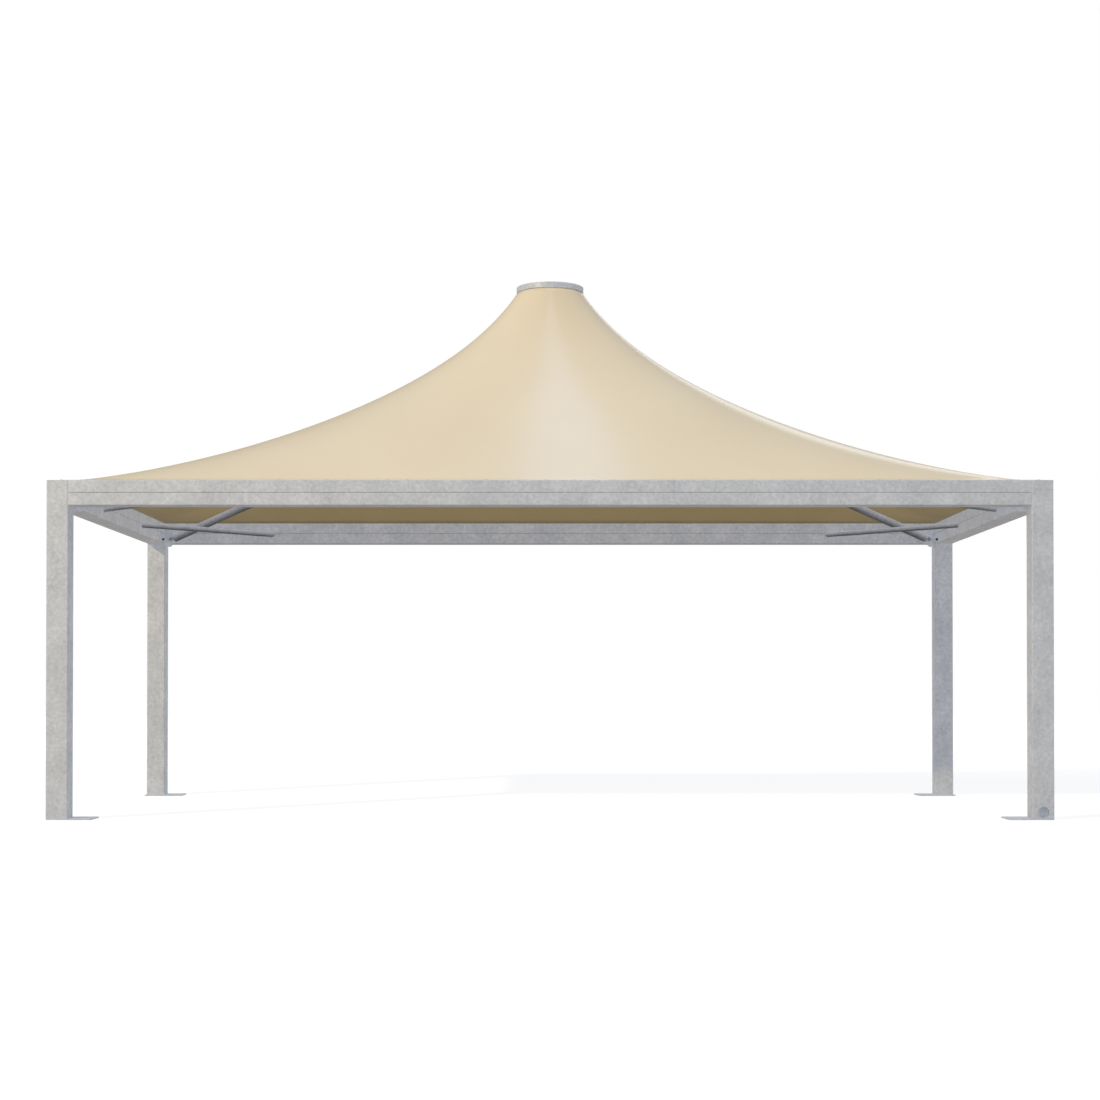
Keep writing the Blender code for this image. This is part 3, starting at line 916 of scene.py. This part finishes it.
hub_zinc = galvanised("galvanised_hub", (2.2, 5.7, 1.8))
low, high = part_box("centre_hub")
top, bottom = high.z - LID, low.z + LID
lid, rim = HUB_RADIUS - LID_INSET + LID_CHAMFER, HUB_RADIUS - LID_CHAMFER
profile = (
    (0, high.z), (HUB_RADIUS - LID_INSET, high.z), (lid, high.z - LID_CHAMFER), (lid, top), (rim, top),
    (HUB_RADIUS, top - LID_CHAMFER), (HUB_RADIUS, bottom + LID_CHAMFER), (rim, bottom), (lid, bottom),
    (lid, low.z + LID_CHAMFER), (HUB_RADIUS - LID_INSET, low.z), (0, low.z),
)
settle(new_piece("hub_drum", turned(profile, 96), hub_zinc), "galvanised", "centre_hub")


def circle(radius, height, steps=96):
    turns = np.linspace(0, 2 * math.pi, steps, endpoint=False)
    return [(radius * math.cos(turn), radius * math.sin(turn), height) for turn in turns]


low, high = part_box("mast")
flange_top = low.z + FLANGE_THICK
profile = (
    (0, high.z), (MAST_RADIUS, high.z), (MAST_RADIUS, flange_top),
    (FLANGE_RADIUS - FLANGE_EDGE, flange_top), (FLANGE_RADIUS, flange_top - FLANGE_EDGE),
    (FLANGE_RADIUS, low.z), (0, low.z),
)
settle(new_piece("mast_tube", turned(profile, 80), hub_zinc), "galvanised", "mast")
loops = [
    circle(MAST_RADIUS + WELD_SEAT, flange_top + WELD_SEAT),
    circle(MAST_RADIUS + WELD_SEAT, high.z - WELD_SEAT), circle(lid, top), circle(lid, bottom),
]
weld("hub_welds", loops, MAST_WELD, hub_zinc, closed=True)
shapes = []
for place in circle(FLANGE_BOLT_RING, flange_top, FLANGE_BOLTS):
    place = Vector(place)
    top = place + Vector((0, 0, FLANGE_HEAD["thick"]))
    thread = rod(place, top + Vector((0, 0, FLANGE_THREAD["end"])), FLANGE_THREAD["radius"], 24)
    shapes.append(hexagon(place, top, FLANGE_HEAD["radius"], FLANGE_HEAD["chamfer"]))
    shapes.append(eased(thread, FLANGE_THREAD["ease"]))
settle(new_piece("flange_bolts", gathered(shapes), bolt_zinc), "bolt_steel")

# Crown. A steel ring of 600 mm is closed by a slightly domed cap. Inside it a plate sits on the mast,
# and a clamp ring is screwed against the plate from below, with the hem of the membrane between.
RING_WALL = 0.006
CROWN_EDGE = 0.0012
SEAT_EDGE = 0.001
CAP_RISE = 0.008
CAP_ROUND = 0.004
CROWN_SIDES = 128
CLAMP_INNER = 0.252
CLAMP_OUTER = 0.284
CLAMP_LOW = 4.5895
CLAMP_HIGH = 4.5975
CLAMP_SCREWS = 24
CLAMP_HEAD = {"radius": 0.0075, "thick": 0.0055, "chamfer": 0.001}

crown_zinc = galvanised("galvanised_crown", (0.9, 2.4, 5.1))
low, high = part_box("crown_ring")
outer, inner, ease = high.x, high.x - RING_WALL, CROWN_EDGE * 0.3
profile = (
    (inner, high.z - CROWN_EDGE), (inner + CROWN_EDGE, high.z), (outer - CROWN_EDGE, high.z),
    (outer - ease, high.z - ease), (outer, high.z - CROWN_EDGE),
    (outer, low.z + CROWN_EDGE), (outer - CROWN_EDGE, low.z), (inner + CROWN_EDGE, low.z),
    (inner, low.z + CROWN_EDGE),
)
settle(new_piece("crown_band", turned(profile, CROWN_SIDES), crown_zinc), "galvanised", "crown_ring")

low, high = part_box("crown_plate")
profile = (
    (0, high.z), (high.x - SEAT_EDGE, high.z), (high.x, high.z - SEAT_EDGE),
    (high.x, low.z + SEAT_EDGE), (high.x - SEAT_EDGE, low.z), (0, low.z),
)
seat_plate = new_piece("crown_seat_plate", turned(profile, CROWN_SIDES), crown_zinc)
settle(seat_plate, "galvanised", "crown_plate")

low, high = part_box("crown_cap")
dome_low = high.z - CAP_RISE
dome = [
    ((high.x - CAP_ROUND) * part, dome_low + CAP_RISE * (1 - part ** 2))
    for part in np.linspace(0, 1, 14)
]
edge = [
    (high.x - CAP_ROUND + CAP_ROUND * math.sin(turn), dome_low - CAP_ROUND + CAP_ROUND * math.cos(turn))
    for turn in np.linspace(0, math.pi / 2, 6)[1:]
]
profile = (*dome, *edge, (high.x, low.z), (0, low.z))
settle(new_piece("crown_lid", turned(profile, CROWN_SIDES), crown_zinc), "galvanised", "crown_cap")

profile = (
    (CLAMP_INNER, CLAMP_HIGH), (CLAMP_OUTER, CLAMP_HIGH), (CLAMP_OUTER, CLAMP_LOW + SEAT_EDGE),
    (CLAMP_OUTER - SEAT_EDGE, CLAMP_LOW), (CLAMP_INNER + SEAT_EDGE, CLAMP_LOW),
    (CLAMP_INNER, CLAMP_LOW + SEAT_EDGE),
)
settle(new_piece("collar_clamp", turned(profile, CROWN_SIDES), crown_zinc), "galvanised")
shapes = []
for place in circle((CLAMP_INNER + CLAMP_OUTER) / 2, CLAMP_LOW, CLAMP_SCREWS):
    place = Vector(place)
    below = place - Vector((0, 0, CLAMP_HEAD["thick"]))
    shapes.append(hexagon(place, below, CLAMP_HEAD["radius"], CLAMP_HEAD["chamfer"]))
settle(new_piece("collar_screws", gathered(shapes), bolt_zinc), "bolt_steel")

# Clamp rails. Flat aluminium bars in lengths of about two metres press the hem of the membrane on
# the beams, with a self-drilling screw every 150 mm.
RAIL_LENGTHS = {"front": 4, "back": 4, "left": 2, "right": 2}
RAIL_JOINT = 0.003
RAIL_EDGE = 0.001
RAIL_LIFT = 0.0013
SCREW_PITCH = 0.15
SCREW_FROM_END = 0.035
SCREW_SEED = 7
SCREW_COLLAR = {"radius": 0.0085, "top": 0.0012, "ease": 0.0003}
SCREW_HEAD = {"radius": 0.0060, "top": 0.0057, "chamfer": 0.0008}
RAIL_TONES = ((0.35, (0.60, 0.60, 0.59)), (0.65, (0.72, 0.72, 0.71)))

aluminium, surface, place = new_material("mill_aluminium")
drawn = noise(place, scale=320, detail=3)
stain = noise(place, scale=14, detail=4)
stain.ramp(RAIL_TONES).into(surface.inputs["Base Color"])
(0.22 + 0.18 * drawn + 0.1 * stain).into(surface.inputs["Roughness"])
surface.inputs["Metallic"].default_value = 0.9

step, top = (0, 0, SCREW_COLLAR["top"]), (0, 0, SCREW_HEAD["top"])
screw = gathered([
    eased(rod((0, 0, 0), step, SCREW_COLLAR["radius"], 28), SCREW_COLLAR["ease"]),
    hexagon(step, top, SCREW_HEAD["radius"], SCREW_HEAD["chamfer"]),
])
screw = new_piece("rail_screw_shape", screw, bolt_zinc)
screw_tree, port = geometry_tree("screws_along", {"Screw": "Object", "Pitch": "Float", "Seed": "Int"})
line = resampled(port["Geometry"], port["Pitch"])
shape = line.node("GeometryNodeObjectInfo", {}, {"Object": port["Screw"]}, output="Geometry")
turn = line.node("FunctionNodeRandomValue", {}, {2: 0.0, 3: 2 * math.pi, 8: port["Seed"]}, output=1)
turn = turn.node("ShaderNodeCombineXYZ", {}, {"Z": turn})
row = {"Points": line, "Instance": shape, "Rotation": turn}
row = line.node("GeometryNodeInstanceOnPoints", {}, row)
row = row.node("GeometryNodeRealizeInstances", {}, {"Geometry": row})
end_tree(screw_tree, row.node("GeometryNodeSetMaterial", {}, {"Geometry": row, "Material": bolt_zinc}))

for side, lengths in RAIL_LENGTHS.items():
    low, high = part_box(f"{side}_clamp_rail")
    low.z += RAIL_LIFT
    axis = 0 if side in ("front", "back") else 1
    step = (high[axis] - low[axis]) / lengths
    shapes, rows = [], []
    for index in range(lengths):
        start, end = low.copy(), high.copy()
        start[axis] = low[axis] + step * index + (RAIL_JOINT / 2 if index else 0)
        end[axis] = low[axis] + step * (index + 1) - (RAIL_JOINT / 2 if index < lengths - 1 else 0)
        shapes.append(rounded_bar(start, end, axis, RAIL_EDGE, RAIL_EDGE / 2))
        middle = (start + end) / 2
        first, last = middle.copy(), middle.copy()
        first[axis], last[axis] = start[axis] + SCREW_FROM_END, end[axis] - SCREW_FROM_END
        first.z = last.z = high.z
        rows.append([first, last])
    settle(new_piece(f"{side}_rail", gathered(shapes), aluminium), "aluminium", f"{side}_clamp_rail")
    values = {"Screw": screw, "Pitch": SCREW_PITCH, "Seed": SCREW_SEED}
    settle(grown(f"{side}_rail_screws", rows, screw_tree, values), "bolt_steel")
bpy.data.objects.remove(screw)

# Membrane. One sheet of coated polyester of about 1 mm, pulled tight. Its shape is a net in balance,
# much harder pulled round the crown than at the eaves. Its hem lies under the rails and in the crown.
NET_ROWS = 48
NET_SHORT = 20
NET_LONG = 40
COLLAR_RADIUS = 0.295
COLLAR_HEIGHT = 4.5968
HOOP_PULL_COLLAR = 20.0
HOOP_PULL_EAVES = 1.9
MEMBRANE_THICK = 0.001
EAVE = (3.8845, 1.8845)
EAVE_HEIGHT = 2.7003
HEM = (0.004, 0.030, 0.053, 0.0675)
COLLAR_HEM = ((0.289, 4.5985), (0.280, 4.5992), (0.255, 4.5993))
UNDERSIDE = 1
UNDERSIDE_ROUGHNESS = 0.7
WEAVE = (0.12, 0.0004)
WEAVE_BELOW = (0.15, 0.0004)
MEMBRANE_TOP = ((0.35, (0.64, 0.50, 0.312)), (0.65, (0.66, 0.52, 0.327)))
# The underside is the same cloth painted darker and browner, as painted shade.
MEMBRANE_BELOW_SHADED = ((0.35, (0.373, 0.278, 0.13)), (0.65, (0.394, 0.294, 0.14)))


def membrane_net(rows, short, long):
    """Quarter of the membrane as a pulled net: rows from the collar down to the eaves, columns from
    the middle of the short side over the corner to the middle of the long side. Each inner knot lies
    at the mean of its neighbours, weighted by their pull."""
    columns = short + long
    corner_turn = math.atan2(EAVE[1], EAVE[0])
    over_long = np.linspace(corner_turn, math.pi / 2, long + 1)[1:]
    turns = np.append(np.linspace(0, corner_turn, short + 1), over_long)
    net = np.zeros((rows + 1, columns + 1, 3))
    net[0] = np.column_stack([
        COLLAR_RADIUS * np.cos(turns),
        COLLAR_RADIUS * np.sin(turns),
        np.full(columns + 1, COLLAR_HEIGHT),
    ])
    net[rows] = np.column_stack([
        np.append(np.full(short + 1, EAVE[0]), np.linspace(EAVE[0], 0, long + 1)[1:]),
        np.append(np.linspace(0, EAVE[1], short + 1), np.full(long, EAVE[1])),
        np.full(columns + 1, EAVE_HEIGHT),
    ])
    fineness = (columns / rows / 2) ** 2
    knots = (rows - 1) * (columns + 1)
    mirror_signs = {-1: (1, -1, 1), columns + 1: (-1, 1, 1)}
    for axis in range(3):
        pulls = np.zeros((knots, knots))
        loads = np.zeros(knots)
        for row in range(1, rows):
            hoop = fineness * HOOP_PULL_COLLAR * (HOOP_PULL_EAVES / HOOP_PULL_COLLAR) ** (row / rows)
            for column in range(columns + 1):
                knot = (row - 1) * (columns + 1) + column
                pulls[knot, knot] = 2 + 2 * hoop
                for other in (row - 1, row + 1):
                    if 0 < other < rows:
                        pulls[knot, (other - 1) * (columns + 1) + column] -= 1
                    else:
                        loads[knot] += net[other, column, axis]
                for other in (column - 1, column + 1):
                    sign = mirror_signs.get(other, (1, 1, 1))[axis]
                    inside = min(max(other, -other), 2 * columns - other)
                    pulls[knot, (row - 1) * (columns + 1) + inside] -= hoop * sign
        net[1:rows, :, axis] = np.linalg.solve(pulls, loads).reshape(rows - 1, columns + 1)
    return net


def whole_round(net):
    """The quarter net mirrored into closed rows all the way round."""
    flip_x, flip_y = np.array((-1, 1, 1)), np.array((1, -1, 1))
    left_back = (net * flip_x)[:, ::-1][:, 1:]
    left_front = (net * flip_x * flip_y)[:, 1:]
    right_front = (net * flip_y)[:, ::-1][:, 1:-1]
    return np.concatenate([net, left_back, left_front, right_front], axis=1)


def coated_cloth(name, tones, relief):
    """Smooth coated cloth with broad pale clouds and a faint weave."""
    material, surface, place = new_material(name)
    noise(place, scale=0.9, detail=3).ramp(tones).into(surface.inputs["Base Color"])
    weave = noise(place, scale=420, detail=2)
    embossed(weave, *relief).into(surface.inputs["Normal"])
    return material, surface.inputs["Roughness"], weave


membrane, roughness, weave = coated_cloth("beige_membrane", MEMBRANE_TOP, WEAVE)
(0.19 + 0.06 * weave).into(roughness)
underside, roughness, weave = coated_cloth("membrane_underside", MEMBRANE_BELOW_SHADED, WEAVE_BELOW)
roughness.default_value = UNDERSIDE_ROUGHNESS

quarter = membrane_net(NET_ROWS, NET_SHORT, NET_LONG)
collar_rows = []
for radius, height in COLLAR_HEM:
    row = quarter[0] * (radius / COLLAR_RADIUS)
    row[:, 2] = height
    collar_rows.insert(0, row)
hem_rows = []
for reach in HEM:
    row = quarter[-1].copy()
    row[:, 0] *= 1 + reach / EAVE[0]
    row[:, 1] *= 1 + reach / EAVE[1]
    hem_rows.append(row)
quarter = np.concatenate([np.array(collar_rows), quarter, np.array(hem_rows)])
net = whole_round(quarter)
shape = bmesh.new()
grid = [[shape.verts.new(point) for point in row] for row in net]
around = len(grid[0])
for upper, lower in zip(grid, grid[1:]):
    for i in range(around):
        j = (i + 1) % around
        shape.faces.new((upper[i], lower[i], lower[j], upper[j]))
area = sum(face.calc_area() for face in shape.faces)
canopy = new_piece("membrane_roof", shape, membrane)
canopy.data.materials.append(underside)
if sum(face.normal.z for face in canopy.data.polygons) < 0:
    canopy.data.flip_normals()
wall = canopy.modifiers.new("thickness", "SOLIDIFY")
wall.thickness = MEMBRANE_THICK
wall.offset = 1
as_mesh(canopy)
for face in canopy.data.polygons:
    face.material_index = UNDERSIDE if face.normal.z < 0 else 0
canopy.data.shade_smooth()
leave_out(canopy, *both_domes, out_of_warm_light)
in_pale_light.objects.link(canopy)
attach(canopy, "root")
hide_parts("canopy")
